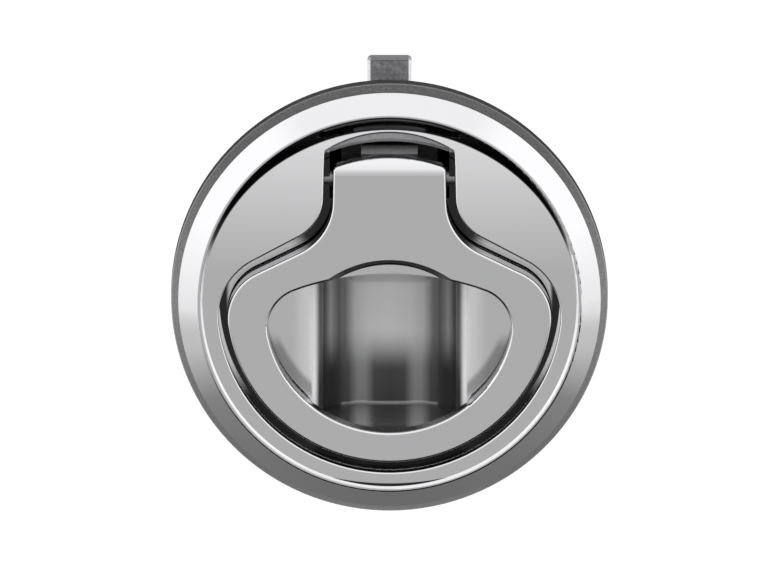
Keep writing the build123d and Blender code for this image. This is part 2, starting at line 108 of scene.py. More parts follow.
def blendColours(tree, share, first, second):
    made = addNode(tree, "ShaderNodeMix", data_type="RGBA")
    fill(tree, made.inputs[0], share)
    colourInputs = [s for s in made.inputs if s.type == "RGBA"]
    for socket, value in zip(colourInputs, (first, second)):
        fill(tree, socket, value)
    return [s for s in made.outputs if s.type == "RGBA"][0]


def blendValues(tree, share, first, second):
    made = addNode(tree, "ShaderNodeMix", data_type="FLOAT")
    for socket, value in zip((made.inputs[0], made.inputs[2], made.inputs[3]), (share, first, second)):
        fill(tree, socket, value)
    return made.outputs[0]


def toneIn(tree, mask, tone):
    # A factor that is the tone inside the mask and 1 outside it
    return blendValues(tree, mask, 1.0, tone)


def millimetres(tree, place):
    # Place in millimetres, so that noise scales read as cycles per millimetre
    made = addNode(tree, "ShaderNodeVectorMath", operation="SCALE", inputs={"Scale": 1 / mm})
    tree.links.new(place, made.inputs[0])
    return made.outputs[0]


def noise(tree, place, scale, detail=4.0, roughness=0.55):
    made = addNode(tree, "ShaderNodeTexNoise", inputs={"Detail": detail, "Roughness": roughness})
    fill(tree, made.inputs["Vector"], place)
    fill(tree, made.inputs["Scale"], scale)
    return made.outputs["Fac"]


# Effects that several materials share. In their settings a spread is the stretch of a noise that is
# used, since noise keeps to the middle of its range.

def newGroup(name, inputs, outputs):
    group = bpy.data.node_groups.new(name, "ShaderNodeTree")
    for label, value in inputs.items():
        kind = "NodeSocketVector" if value is None else "NodeSocketFloat"
        socket = group.interface.new_socket(label, in_out="INPUT", socket_type=kind)
        if value is not None:
            socket.default_value = value
    for label in outputs:
        group.interface.new_socket(label, in_out="OUTPUT", socket_type="NodeSocketFloat")
    return group, group.nodes.new("NodeGroupInput"), group.nodes.new("NodeGroupOutput")


skinSettings = {
    "spread": (0.3, 0.7),
    "rough": (0.34, 0.52),
    "pitsFiner": 5.0,
    "pitDetail": 3.0,
    "pitHeight": 0.6,
}


def castSkin():
    # Metal as it left the mould: soft mottling, and finer pits
    s = skinSettings
    group, start, end = newGroup("castSkin", {"Place": None, "Scale": 1.6, "Contrast": 0.2},
                                 ("Tone", "Rough", "Height"))
    place = millimetres(group, start.outputs["Place"])
    clouds = noise(group, place, start.outputs["Scale"])
    finer = calc(group, "MULTIPLY", start.outputs["Scale"], s["pitsFiner"])
    pits = noise(group, place, finer, s["pitDetail"])
    signed = calc(group, "MULTIPLY_ADD", clouds, 2.0, -1.0)
    tone = calc(group, "MULTIPLY_ADD", signed, start.outputs["Contrast"], 1.0)
    group.links.new(tone, end.inputs["Tone"])
    group.links.new(between(group, clouds, *s["spread"], *s["rough"]), end.inputs["Rough"])
    group.links.new(calc(group, "MULTIPLY_ADD", pits, s["pitHeight"], clouds), end.inputs["Height"])
    return group


polishSettings = {
    "turn": (0.2, 0.5, 0.3),
    "stretch": (0.12, 0.6, 0.9),
    "streak": (1.4, 5.0, 0.6),       # scale, detail and roughness of the noise
    "streakSpread": (0.45, 0.75),
    "patch": (0.11, 2.0),            # scale and detail
    "patchSpread": (0.4, 0.65),
    "wave": (0.16, 1.0),             # scale and detail
}


def handledPolish():
    # Polished metal that has been wiped: faint streaks over its least roughness, and a very slight
    # waviness
    s = polishSettings
    group, start, end = newGroup("handledPolish", {"Place": None, "Least": 0.045, "Haze": 0.03},
                                 ("Rough", "Height"))
    place = millimetres(group, start.outputs["Place"])
    streaks = addNode(group, "ShaderNodeMapping", vector_type="POINT",
                      inputs={"Rotation": s["turn"], "Scale": s["stretch"]})
    group.links.new(place, streaks.inputs["Vector"])
    wiped = noise(group, streaks.outputs["Vector"], *s["streak"])
    patches = noise(group, place, *s["patch"])
    haze = where(group, (wiped, *s["streakSpread"]), (patches, *s["patchSpread"]))
    rough = calc(group, "MULTIPLY_ADD", haze, start.outputs["Haze"], start.outputs["Least"])
    group.links.new(rough, end.inputs["Rough"])
    group.links.new(noise(group, place, *s["wave"]), end.inputs["Height"])
    return group


lineSettings = {"detail": 3.0, "spread": (0.3, 0.7), "tone": (0.86, 1.08)}


def turnedLines():
    # Fine rings that a lathe leaves, round the barrel's axis: noise of the distance from that axis
    s = lineSettings
    group, start, end = newGroup("turnedLines", {"Place": None, "Lines": 7.0}, ("Tone", "Height"))
    place = millimetres(group, start.outputs["Place"])
    flat = addNode(group, "ShaderNodeVectorMath", operation="MULTIPLY", inputs={1: (1.0, 0.0, 1.0)})
    group.links.new(place, flat.inputs[0])
    reach = addNode(group, "ShaderNodeVectorMath", operation="LENGTH")
    group.links.new(flat.outputs[0], reach.inputs[0])
    rings = addNode(group, "ShaderNodeTexNoise", noise_dimensions="1D",
                    inputs={"Scale": 1.0, "Detail": s["detail"]})
    scaled = calc(group, "MULTIPLY", reach.outputs["Value"], start.outputs["Lines"])
    group.links.new(scaled, rings.inputs["W"])
    group.links.new(between(group, rings.outputs["Fac"], *s["spread"], *s["tone"]), end.inputs["Tone"])
    group.links.new(rings.outputs["Fac"], end.inputs["Height"])
    return group


grainSettings = {
    "smoothness": 0.6,
    "specksCoarser": 0.8,
    "speck": (6.0, 0.7),             # detail and roughness of the noise
    "patch": (0.3, 3.0),             # scale and detail
    "patchSpread": (0.45, 0.7),
    "toneSpread": (0.33, 0.68),
    "tone": (-0.4, 0.9),
    "roughSpread": (0.3, 0.7),
    "rough": (0.5, 0.72),
}


def mouldedGrain():
    # The even fine grain of moulded rubber and nylon, with a little pale bloom
    s = grainSettings
    group, start, end = newGroup("mouldedGrain", {"Place": None, "Grain": 5.0, "Bloom": 0.3, "Contrast": 1.0},
                                 ("Tone", "Rough", "Height"))
    place = millimetres(group, start.outputs["Place"])
    bumps = addNode(group, "ShaderNodeTexVoronoi", feature="SMOOTH_F1",
                    inputs={"Smoothness": s["smoothness"]})
    group.links.new(place, bumps.inputs["Vector"])
    group.links.new(start.outputs["Grain"], bumps.inputs["Scale"])
    coarser = calc(group, "MULTIPLY", start.outputs["Grain"], s["specksCoarser"])
    specks = noise(group, place, coarser, *s["speck"])
    patches = noise(group, place, *s["patch"])
    bloom = calc(group, "MULTIPLY", between(group, patches, *s["patchSpread"]), start.outputs["Bloom"])
    signed = between(group, specks, *s["toneSpread"], *s["tone"])
    tone = calc(group, "ADD", calc(group, "MULTIPLY_ADD", signed, start.outputs["Contrast"], 1.0), bloom)
    group.links.new(tone, end.inputs["Tone"])
    group.links.new(between(group, specks, *s["roughSpread"], *s["rough"]), end.inputs["Rough"])
    group.links.new(calc(group, "ADD", bumps.outputs["Distance"], specks), end.inputs["Height"])
    return group


effects = {
    "castSkin": castSkin(),
    "handledPolish": handledPolish(),
    "turnedLines": turnedLines(),
    "mouldedGrain": mouldedGrain(),
}
print("effect groups built:", len(effects))


# Materials

def startMaterial(name, colour, metallic, shine=0.5):
    material = bpy.data.materials.new(name)
    material.use_nodes = True
    tree = material.node_tree
    shader = tree.nodes["Principled BSDF"]
    shader.inputs["Base Color"].default_value = (*colour, 1.0)
    shader.inputs["Metallic"].default_value = metallic
    shader.inputs["Specular IOR Level"].default_value = shine
    material.diffuse_color = (*colour, 1.0)
    place = tree.nodes.new("ShaderNodeTexCoord").outputs["Object"]
    return material, tree, shader, place


def useEffect(tree, name, place, **values):
    made = addNode(tree, "ShaderNodeGroup", node_tree=effects[name])
    tree.links.new(place, made.inputs["Place"])
    for label, value in values.items():
        made.inputs[label].default_value = value
    return made.outputs


def tinted(tree, tone, colour):
    # Colour times a tone that changes over the surface
    made = addNode(tree, "ShaderNodeVectorMath", operation="SCALE", inputs={0: colour})
    tree.links.new(tone, made.inputs["Scale"])
    return made.outputs[0]


def addBump(tree, shader, height, strength, depth):
    bump = addNode(tree, "ShaderNodeBump", inputs={"Strength": strength, "Distance": depth * mm})
    tree.links.new(height, bump.inputs["Height"])
    tree.links.new(bump.outputs["Normal"], shader.inputs["Normal"])


def measures(tree, place):
    # In millimetres: the place, x, y, z, how far from the middle, and how far from the barrel's axis
    scaled = millimetres(tree, place)
    split = tree.nodes.new("ShaderNodeSeparateXYZ")
    tree.links.new(scaled, split.inputs[0])
    x, y, z = split.outputs
    squares = calc(tree, "MULTIPLY_ADD", x, x, calc(tree, "MULTIPLY", z, z))
    return {"place": scaled, "x": x, "y": y, "z": z, "side": calc(tree, "ABSOLUTE", x),
            "reach": calc(tree, "SQRT", squares)}


def chromeMaterial(name, look, findZones):
    # Polished chrome, with painted shade and painted highlights in its colour, that gives way to the
    # casting's skin in the raw zones
    material, tree, shader, place = startMaterial(name, look["colour"], 1.0)
    polish = useEffect(tree, "handledPolish", place, Least=look["least"], Haze=look["haze"])
    skin = useEffect(tree, "castSkin", place, Scale=look["castScale"], Contrast=look["castContrast"])
    zones = findZones(tree, measures(tree, place))
    raw = zones["raw"]
    plated = tinted(tree, zones["paintedShadeAndHighlight"], look["colour"])
    cast = tinted(tree, skin["Tone"], look["castColour"])
    tree.links.new(blendColours(tree, raw, plated, cast), shader.inputs["Base Color"])
    metallic = 1.0
    rough = calc(tree, "MULTIPLY_ADD", zones["satin"], look["satin"], polish["Rough"])
    if "dull" in zones:
        metallic = toneIn(tree, zones["dull"], look["dullMetallic"])
        rough = calc(tree, "MULTIPLY_ADD", zones["dull"], look["dullRough"], rough)
    tree.links.new(blendValues(tree, raw, metallic, zones["rawMetallic"]), shader.inputs["Metallic"])
    tree.links.new(blendValues(tree, raw, rough, skin["Rough"]), shader.inputs["Roughness"])
    waves = calc(tree, "MULTIPLY", polish["Height"], look["wave"])
    pits = calc(tree, "MULTIPLY", skin["Height"], look["castBump"])
    addBump(tree, shader, blendValues(tree, raw, waves, pits), 1.0, look["depth"])
    return material


# The body's zones, most of which paint shade, highlights and reflections into the chrome's colour. Their
# sizes are millimetres, and each pair is where a soft edge begins and ends.

bodyLook = {
    "colour": (0.66, 0.66, 0.67),
    "least": 0.035,
    "haze": 0.02,
    "wave": 0.02,
    "satin": 0.10,
    "depth": 0.06,
    "castColour": (0.43, 0.43, 0.44),
    "castScale": 1.8,
    "castContrast": 0.25,
    "castBump": 0.25,
    "dullMetallic": 0.35,
    "dullRough": 0.3,
    "stripAbove": (21.3, 21.6),      # a strip over the handle's neck, left as cast
    "stripBehind": (-2.5, -2.2),
    "stripMetallic": 0.25,
    "barrelBehind": (-0.2, 0.1),     # and all of the barrel
    "barrelOutside": (22.6, 22.9),
    "barrelMetallic": 0.9,
}

gapLook = {
    "behind": (-6.45, -6.2),         # painted shade between the handle's ring and the pocket's wall
    "before": (-0.7, -0.9),
    "outside": (23.2, 23.8),
    "inside": (25.9, 25.6),
    "below": (9.0, 5.0),
    "neckBehind": (-5.2, -4.8),      # and beside the neck
    "neckInside": (15.0, 12.0),
    "neckAbove": (6.0, 9.0),
    "neckBelow": (21.6, 21.3),
    # tone of the painted shade in the gap
    "tone": 0.05,
    "lineBehind": (-5.1, -4.9),      # a painted highlight line along the wall, also dull
    "lineBefore": (-4.3, -4.5),
    "lineHighlight": 1.4,
    "floorOutside": (24.7, 24.85),   # a painted highlight on the outer strip of the gap's floor, at both sides
    "floorAbove": (-15.0, -9.0),
    "floorHighlight": 1.5,
}

panLook = {
    "behind": (-2.1, -2.05),         # the pocket's floor
    "before": (-1.9, -1.95),
    "sweepFrom": (16.6, 17.6),       # painted dark reflections near the ring, low down
    "sweepTo": (19.2, 18.2),
    "sweepBelow": (-5.0, -8.0),
    "sweepDarkReflection": 0.5,
    "lipFrom": (10.6, 11.4),         # painted highlight bands beside the well
    "lipTo": (14.4, 12.0),
    "lipHighlight": 1.28,
}


def gapPaintedLight(tree, at):
    # Painted shade where the handle closes the pocket in, but for a painted highlight line along its wall and
    # a painted highlight on part of its floor
    g = gapLook
    ring = where(tree, (at["y"], *g["behind"]), (at["y"], *g["before"]), (at["reach"], *g["outside"]),
                 (at["reach"], *g["inside"]), (at["z"], *g["below"]))
    neck = where(tree, (at["y"], *g["neckBehind"]), (at["y"], *g["before"]), (at["side"], *g["neckInside"]),
                 (at["z"], *g["neckAbove"]), (at["z"], *g["neckBelow"]))
    line = where(tree, (at["y"], *g["lineBehind"]), (at["y"], *g["lineBefore"]))
    floor = where(tree, (at["y"], *panLook["behind"]), (at["reach"], *g["floorOutside"]),
                  (at["z"], *g["floorAbove"]))
    line = product(tree, ring, line)
    tone = toneIn(tree, calc(tree, "MAXIMUM", ring, neck), g["tone"])
    tone = blendValues(tree, line, tone, g["lineHighlight"])
    return blendValues(tree, product(tree, ring, floor), tone, g["floorHighlight"]), line


def panPaintedReflections(tree, at):
    # Painted reflections on the pocket's floor: dark sweeps near the ring, and highlight bands beside the
    # well
    p = panLook
    pan = where(tree, (at["y"], *p["behind"]), (at["y"], *p["before"]))
    sweep = where(tree, (at["reach"], *p["sweepFrom"]), (at["reach"], *p["sweepTo"]),
                  (at["z"], *p["sweepBelow"]))
    lip = where(tree, (at["side"], *p["lipFrom"]), (at["side"], *p["lipTo"]))
    return product(tree, toneIn(tree, product(tree, pan, sweep), p["sweepDarkReflection"]),
                   toneIn(tree, product(tree, pan, lip), p["lipHighlight"]))


slopeLook = {
    "from": (20.26, 20.38),          # by reach plus y, which is the same all over a slope of 45 degrees
    "to": (20.62, 20.5),
    "above": (6.5, 10.5),
    "below": (26.0, 22.0),
    "tone": 0.14,
}


def slopePaintedShade(tree, at):
    # The slope under the crest has painted shade in its upper part
    cone = calc(tree, "ADD", at["reach"], at["y"])
    slope = where(tree, (cone, *slopeLook["from"]), (cone, *slopeLook["to"]), (at["z"], *slopeLook["above"]),
                  (at["z"], *slopeLook["below"]))
    return toneIn(tree, slope, slopeLook["tone"])


wellLook = {
    "behind": (-2.08, -2.0),
    "inside": (12.2, 10.2),
    "below": (8.0, 7.4),
    "widest": 12.0,
    "tones": ((0.0, 1.15), (3.0, 1.1), (5.0, 0.9), (6.4, 0.22), (7.3, 0.22), (8.5, 0.75), (9.5, 0.16),
              (10.1, 0.2), (10.7, 0.6), (11.6, 0.85)),
    "low": (-7.0, -14.0),
    "lowTones": ((0.0, 0.08), (2.2, 0.1), (3.6, 0.42), (4.6, 0.42), (6.0, 0.1), (10.2, 0.07), (10.8, 0.85)),
    "footBelow": (-18.3, -18.5),
    "footBehind": (10.5, 10.7),
    "footHighlight": 0.45,
}


def wellZone(tree, at):
    # The finger well, not polished, with painted reflections. Its painted light and dark bands change with
    # the distance from the middle and have other, mostly darker, painted tones low down, and a painted
    # highlight line runs along the foot of its back.
    w = wellLook
    well = where(tree, (at["y"], *w["behind"]), (at["side"], *w["inside"]), (at["z"], *w["below"]))
    high = toneCurve(tree, at["side"], 0.0, w["widest"], w["tones"])
    low = toneCurve(tree, at["side"], 0.0, w["widest"], w["lowTones"])
    bands = blendValues(tree, between(tree, at["z"], *w["low"]), high, low)
    foot = where(tree, (at["z"], *w["footBelow"]), (at["y"], *w["footBehind"]))
    return toneIn(tree, well, blendValues(tree, foot, bands, w["footHighlight"])), well


lensLook = {"half": 8.6, "reach": 27.2, "depth": 0.45, "below": (-20.0, -21.0), "tone": 0.05,
            "innerSoft": 0.08, "outerSoft": 0.05, "endSoft": 0.06}


def lensPaintedShade(tree, at):
    # A painted dark lens of shade where the face meets the crest, lowest down. Its outer side lies at one
    # reach, and its thickness is depth times one less the square of x over half.
    s = lensLook
    across = calc(tree, "DIVIDE", at["x"], s["half"])
    thick = calc(tree, "MULTIPLY_ADD", product(tree, across, across), -s["depth"], s["depth"])
    inside = calc(tree, "SUBTRACT", at["reach"], calc(tree, "SUBTRACT", s["reach"], thick))
    lens = where(tree, (inside, 0.0, s["innerSoft"]), (at["reach"], s["reach"] + s["outerSoft"], s["reach"]),
                 (at["z"], *s["below"]), (thick, 0.0, s["endSoft"]))
    return toneIn(tree, lens, s["tone"])


rimLook = {
    "outside": (30.72, 30.9),
    "before": (0.0, -0.2),
    "speck": (3.2, 5.0, 0.65),       # scale, detail and roughness of the noise
    "spread": (0.35, 0.65),
    "tones": (0.78, 1.12),
    # a painted highlight along the rim's last edge
    "edgeBehind": (-2.8, -2.7),
    "edgeBefore": (-2.3, -2.4),
    "edgeHighlight": 1.7,
}


def rimZone(tree, at):
    # The rim's side is satin and faintly specked, and its last edge has a painted highlight
    r = rimLook
    rim = where(tree, (at["reach"], *r["outside"]), (at["y"], *r["before"]))
    specks = noise(tree, at["place"], *r["speck"])
    edge = where(tree, (at["reach"], *r["outside"]), (at["y"], *r["edgeBehind"]), (at["y"], *r["edgeBefore"]))
    tone = toneIn(tree, rim, between(tree, specks, *r["spread"], *r["tones"]))
    return product(tree, tone, toneIn(tree, edge, r["edgeHighlight"])), rim


def bodyZones(tree, at):
    b = bodyLook
    strip = where(tree, (at["z"], *b["stripAbove"]), (at["y"], *b["stripBehind"]))
    barrel = where(tree, (at["y"], *b["barrelBehind"]), (at["reach"], *b["barrelOutside"]))
    gapTone, line = gapPaintedLight(tree, at)
    wellTone, well = wellZone(tree, at)
    rimTone, rim = rimZone(tree, at)
    return {
        "raw": calc(tree, "MAXIMUM", strip, barrel),
        "rawMetallic": blendValues(tree, barrel, b["stripMetallic"], b["barrelMetallic"]),
        "paintedShadeAndHighlight": product(tree, gapTone, slopePaintedShade(tree, at), wellTone, panPaintedReflections(tree, at), lensPaintedShade(tree, at),
                         rimTone),
        "satin": rim,
        "dull": calc(tree, "MAXIMUM", well, line),
    }


handleLook = {
    "colour": (0.66, 0.66, 0.67),
    "least": 0.035,
    "haze": 0.025,
    "wave": 0.02,
    "satin": 0.05,
    "depth": 0.06,
    "castColour": (0.19, 0.19, 0.195),
    "castScale": 1.8,
    "castContrast": 0.3,
    "castBump": 0.25,
    "castBehind": (-3.3, -3.0),      # the knuckle, the arm and the plate's back
    "castMetallic": 0.25,
    "wallBehind": (-6.3, -6.05),     # painted shade on the plate's walls
    "wallPaintedShade": 0.45,
    "scoopAbove": (0.6, 0.8),        # the thumb scoop is left out of the painted shade
    "scoopInside": (15.0, 14.5),
    "scoopBefore": (-5.75, -5.8),
}


def handleZones(tree, at):
    # Painted shade on the plate's walls, but not in the thumb scoop
    h = handleLook
    scoop = where(tree, (at["z"], *h["scoopAbove"]), (at["side"], *h["scoopInside"]),
                  (at["y"], *h["scoopBefore"]))
    wall = product(tree, between(tree, at["y"], *h["wallBehind"]), calc(tree, "SUBTRACT", 1.0, scoop))
    return {
        "raw": between(tree, at["y"], *h["castBehind"]),
        "rawMetallic": h["castMetallic"],
        "paintedShadeAndHighlight": toneIn(tree, wall, h["wallPaintedShade"]),
        "satin": wall,
    }


boltLook = {
    "colour": (0.36, 0.36, 0.37),
    "scale": 2.2,
    "contrast": 0.45,
    "bump": 0.35,
    "depth": 0.05,
    "highlightSide": (2.72, 2.84),        # the tongue's front corners, with a painted highlight
    "highlightBefore": (16.1, 16.0),
    "highlightAbove": (24.4, 24.8),
    "highlightTone": 2.3,
    "tipAbove": (31.15, 31.3),       # its tip, darkened by painted shade
    "tipTone": 0.5,
}


def boltMaterial(name, look):
    # Cast zinc with a painted highlight on the corner each side of the tongue and painted shade on its tip
    material, tree, shader, place = startMaterial(name, look["colour"], 1.0)
    skin = useEffect(tree, "castSkin", place, Scale=look["scale"], Contrast=look["contrast"])
    at = measures(tree, place)
    paintedHighlight = where(tree, (at["side"], *look["highlightSide"]), (at["y"], *look["highlightBefore"]),
                 (at["z"], *look["highlightAbove"]))
    tip = between(tree, at["z"], *look["tipAbove"])
    tone = product(tree, skin["Tone"], toneIn(tree, paintedHighlight, look["highlightTone"]),
                   toneIn(tree, tip, look["tipTone"]))
    tree.links.new(tinted(tree, tone, look["colour"]), shader.inputs["Base Color"])
    tree.links.new(skin["Rough"], shader.inputs["Roughness"])
    addBump(tree, shader, skin["Height"], look["bump"], look["depth"])
    return material


metalLooks = {
    "nutZinc": {"colour": (0.50, 0.50, 0.51), "scale": 1.2, "contrast": 0.2, "bump": 0.25, "depth": 0.05},
    "screwSteel": {"colour": (0.60, 0.60, 0.61), "scale": 4.0, "contrast": 0.1, "bump": 0.08,
                   "depth": 0.05},
    "springSteel": {"colour": (0.50, 0.50, 0.51), "scale": 5.0, "contrast": 0.12, "bump": 0.08,
                    "depth": 0.05},
}


def metalMaterial(name, look):
    material, tree, shader, place = startMaterial(name, look["colour"], 1.0)
    skin = useEffect(tree, "castSkin", place, Scale=look["scale"], Contrast=look["contrast"])
    tree.links.new(tinted(tree, skin["Tone"], look["colour"]), shader.inputs["Base Color"])
    tree.links.new(skin["Rough"], shader.inputs["Roughness"])
    addBump(tree, shader, skin["Height"], look["bump"], look["depth"])
    return material


turnedLooks = {
    "turnedSteel": {"colour": (0.60, 0.60, 0.61), "lines": 7.0, "rough": 0.28, "bump": 0.3, "depth": 0.03},
    "pinSteel": {"colour": (0.27, 0.27, 0.275), "lines": 5.0, "rough": 0.35, "bump": 0.2, "depth": 0.03},
}


def turnedMaterial(name, look):
    material, tree, shader, place = startMaterial(name, look["colour"], 1.0)
    lines = useEffect(tree, "turnedLines", place, Lines=look["lines"])
    tree.links.new(tinted(tree, lines["Tone"], look["colour"]), shader.inputs["Base Color"])
    shader.inputs["Roughness"].default_value = look["rough"]
    addBump(tree, shader, lines["Height"], look["bump"], look["depth"])
    return material


mouldedLooks = {
    "gasketRubber": {"colour": (0.018, 0.018, 0.019), "shine": 0.01, "grain": 2.6, "bloom": 0.5,
                     "contrast": 2.2, "bump": 1.0, "depth": 0.06},
    "guideNylon": {"colour": (0.085, 0.085, 0.09), "shine": 0.5, "grain": 7.0, "bloom": 0.1,
                   "contrast": 0.6, "bump": 0.3, "depth": 0.06},
    "coverNylon": {"colour": (0.045, 0.045, 0.048), "shine": 0.35, "grain": 6.0, "bloom": 0.15,
                   "contrast": 0.8, "bump": 0.4, "depth": 0.06},
}


def mouldedMaterial(name, look):
    material, tree, shader, place = startMaterial(name, look["colour"], 0.0, look["shine"])
    grain = useEffect(tree, "mouldedGrain", place, Grain=look["grain"], Bloom=look["bloom"],
                      Contrast=look["contrast"])
    tree.links.new(tinted(tree, grain["Tone"], look["colour"]), shader.inputs["Base Color"])
    tree.links.new(grain["Rough"], shader.inputs["Roughness"])
    addBump(tree, shader, grain["Height"], look["bump"], look["depth"])
    return material


materials = {
    "bodyChrome": chromeMaterial("bodyChrome", bodyLook, bodyZones),
    "handleChrome": chromeMaterial("handleChrome", handleLook, handleZones),
    "boltZinc": boltMaterial("boltZinc", boltLook),
}
simpler = (
    (turnedLooks, turnedMaterial),
    (metalLooks, metalMaterial),
    (mouldedLooks, mouldedMaterial),
)
for looks, make in simpler:
    for name, look in looks.items():
        materials[name] = make(name, look)

finishes = {
    "bodyChrome": ("latch_body",),
    "handleChrome": ("pull_handle",),
    "boltZinc": ("latch_bolt",),
    "nutZinc": ("ring_nut",),
    "pinSteel": ("hinge_pin",),
    "turnedSteel": ("pin_grub_screw", "spring_post", "nut_washer"),
    "springSteel": ("handle_spring_left", "handle_spring_right", "bolt_spring"),
    "screwSteel": ("guide_screw_left", "guide_screw_right", "cover_screw_1", "cover_screw_2", "cover_screw_3",
                   "cover_screw_4"),
    "guideNylon": ("bolt_guide",),
    "coverNylon": ("rear_cover",),
    "gasketRubber": ("flange_gasket", "cover_seal", "handle_bumper_left", "handle_bumper_right"),
}
for finish, names in finishes.items():
    for name in names:
        nodes[name].material_slots[0].material = materials[finish]
print("materials placed:", len(materials))


# New pieces, worked out as whole arrays

def tubeFaces(rings, sides):
    # Quads between each ring of points and the next, closed round, with a many-sided face at each end
    i = np.arange(rings - 1)[:, None] * sides
    j = np.arange(sides)[None, :]
    nextJ = (j + 1) % sides
    corners = (i + j, i + sides + j, i + sides + nextJ, i + nextJ)
    faces = np.stack(np.broadcast_arrays(*corners), axis=-1).reshape(-1, 4).tolist()
    last = (rings - 1) * sides
    return faces + [list(range(sides)), list(range(last + sides - 1, last - 1, -1))]


def roundWire(path, radius, sides=12):
    # A round wire along a path: at each point a circle of that radius, square to the path's direction.
    # The circles start from x, or from z where the path itself runs nearly along x.
    along = np.gradient(path, axis=0)
    along /= np.linalg.norm(along, axis=1)[:, None]
    nearlyX = abs(along[:, 0]).max() > 0.9
    side = np.cross(along, (0.0, 0.0, 1.0) if nearlyX else (1.0, 0.0, 0.0))
    side /= np.linalg.norm(side, axis=1)[:, None]
    up = np.cross(along, side)
    turn = np.linspace(0, 2 * np.pi, sides, endpoint=False)[None, :, None]
    points = path[:, None] + radius * (np.cos(turn) * side[:, None] + np.sin(turn) * up[:, None])
    return points, tubeFaces(len(path), sides)


def newWire(name, path, radius):
    points, faces = roundWire(path * mm, radius * mm)
    mesh = bpy.data.meshes.new(name)
    mesh.from_pydata(points.reshape(-1, 3).tolist(), [], faces)
    mesh.validate()
    mesh.polygons.foreach_set("use_smooth", np.full(len(mesh.polygons), True))
    mesh.materials.append(materials["springSteel"])
    piece = bpy.data.objects.new(name, mesh)
    bpy.context.scene.collection.objects.link(piece)
    return piece


boltSpring = {
    "wire": 0.3,         # radius of the wire, mm
    "radius": 2.0,
    "turns": 9.0,
    "steps": 40,         # points in a turn
    "centreY": 18.6,
    "low": -18.1,
    "high": 3.7,
    "closed": 1.2,       # turns at each end that lie close together
    "closeness": 0.35,
}


def makeBoltSpring():
    # A helix that rises evenly but for its end turns, which lie close together
    s = boltSpring
    turn = np.linspace(0, s["turns"], int(s["turns"] * s["steps"]) + 1)
    angle = 2 * np.pi * turn
    tight = s["closeness"]
    rise = np.where(turn < s["closed"], turn * tight, s["closed"] * tight + (turn - s["closed"]))
    rise -= np.clip(turn - (s["turns"] - s["closed"]), 0, None) * (1 - tight)
    z = s["low"] + (s["high"] - s["low"]) * rise / rise[-1]
    path = np.stack((s["radius"] * np.cos(angle), s["centreY"] + s["radius"] * np.sin(angle), z), axis=1)
    piece = newWire("bolt_spring_wire", path, s["wire"])
    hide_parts("bolt_spring")
    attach(piece, "housing")
    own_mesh(piece)


handleSpring = {
    "wire": 0.35,        # radius of the wire, mm
    "radius": 2.1,
    "turns": 3.25,
    "steps": 48,         # points in a turn
    "pitch": 0.78,
    "pinY": -0.6,
    "pinZ": 17.2,
    "innerX": 4.9,
    "handleLeg": 3.0,
    "bodyLeg": 4.2,
    "legSteps": 8,       # points on a leg
    "sleeve": 35.0,      # degrees of the first turn that go with the handle's leg
    "sleeveSteps": 10,
    "sleeveWire": 0.345,
}


def onPin(angle, side):
    # Helix round the pin that starts in front of it, turns down, and moves outwards by its pitch
    s = handleSpring
    x = side * (s["innerX"] + s["pitch"] * angle / (2 * np.pi))
    y = s["pinY"] - s["radius"] * np.cos(angle)
    z = s["pinZ"] - s["radius"] * np.sin(angle)
    return np.stack((x, y, z), axis=1)


def heading(start, end):
    return (end - start) / np.linalg.norm(end - start)


def makeHandleSpring(label, side):
    # The coil and its lower leg stay with the body. The upper leg and the arc that it comes from ride
    # with the handle, and slide along the coil's first turn as the handle swings.
    s = handleSpring
    coil = onPin(np.linspace(0, 2 * np.pi * s["turns"], int(s["turns"] * s["steps"]) + 1), side)
    along = np.linspace(0, s["bodyLeg"], s["legSteps"])[1:, None]
    bodyLeg = coil[-1] + along * heading(coil[-2], coil[-1])
    rest = newWire("handle_spring_coil_" + label, np.concatenate((coil, bodyLeg)), s["wire"])
    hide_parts("handle_spring_" + label)
    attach(rest, "housing")

    arc = onPin(np.linspace(0, math.radians(s["sleeve"]), s["sleeveSteps"]), side)
    along = np.linspace(s["handleLeg"], 0, s["legSteps"])[:-1, None]
    handleLeg = arc[0] + along * heading(arc[1], arc[0])
    leg = newWire("handle_spring_leg_" + label, np.concatenate((handleLeg, arc)), s["sleeveWire"])
    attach(leg, "handle")


makeBoltSpring()
makeHandleSpring("left", -1)
makeHandleSpring("right", 1)
print("springs made")


# Studio

photo = {
    "width": 780,
    "height": 585,
    "mmPerPixel": 0.14534,
    "elevation": 12.0,
    "crestPixel": (389.5, 303.4),    # where the crest's centre falls
    "crestPoint": (0.0, -7.0, 0.0),
    "distance": 900.0,
}


def makeCamera():
    # A level-sided parallel view, set so that the crest's centre falls on its pixel
    tilt = math.radians(photo["elevation"])
    back = Vector((0, -math.cos(tilt), math.sin(tilt)))
    up = Vector((0, math.sin(tilt), math.cos(tilt)))
    right = Vector((1, 0, 0))
    offsetX = (photo["width"] / 2 - photo["crestPixel"][0]) * photo["mmPerPixel"]
    offsetY = (photo["crestPixel"][1] - photo["height"] / 2) * photo["mmPerPixel"]
    middle = Vector(photo["crestPoint"]) + right * offsetX + up * offsetY
    data = bpy.data.cameras.new("photoCamera")
    data.type = "ORTHO"
    data.ortho_scale = photo["width"] * photo["mmPerPixel"] * mm
    camera = bpy.data.objects.new("photoCamera", data)
    camera.location = (middle + back * photo["distance"]) * mm
    camera.rotation_mode = "QUATERNION"
    camera.rotation_quaternion = (-back).to_track_quat("-Z", "Y")
    bpy.context.scene.collection.objects.link(camera)
    bpy.context.scene.camera = camera


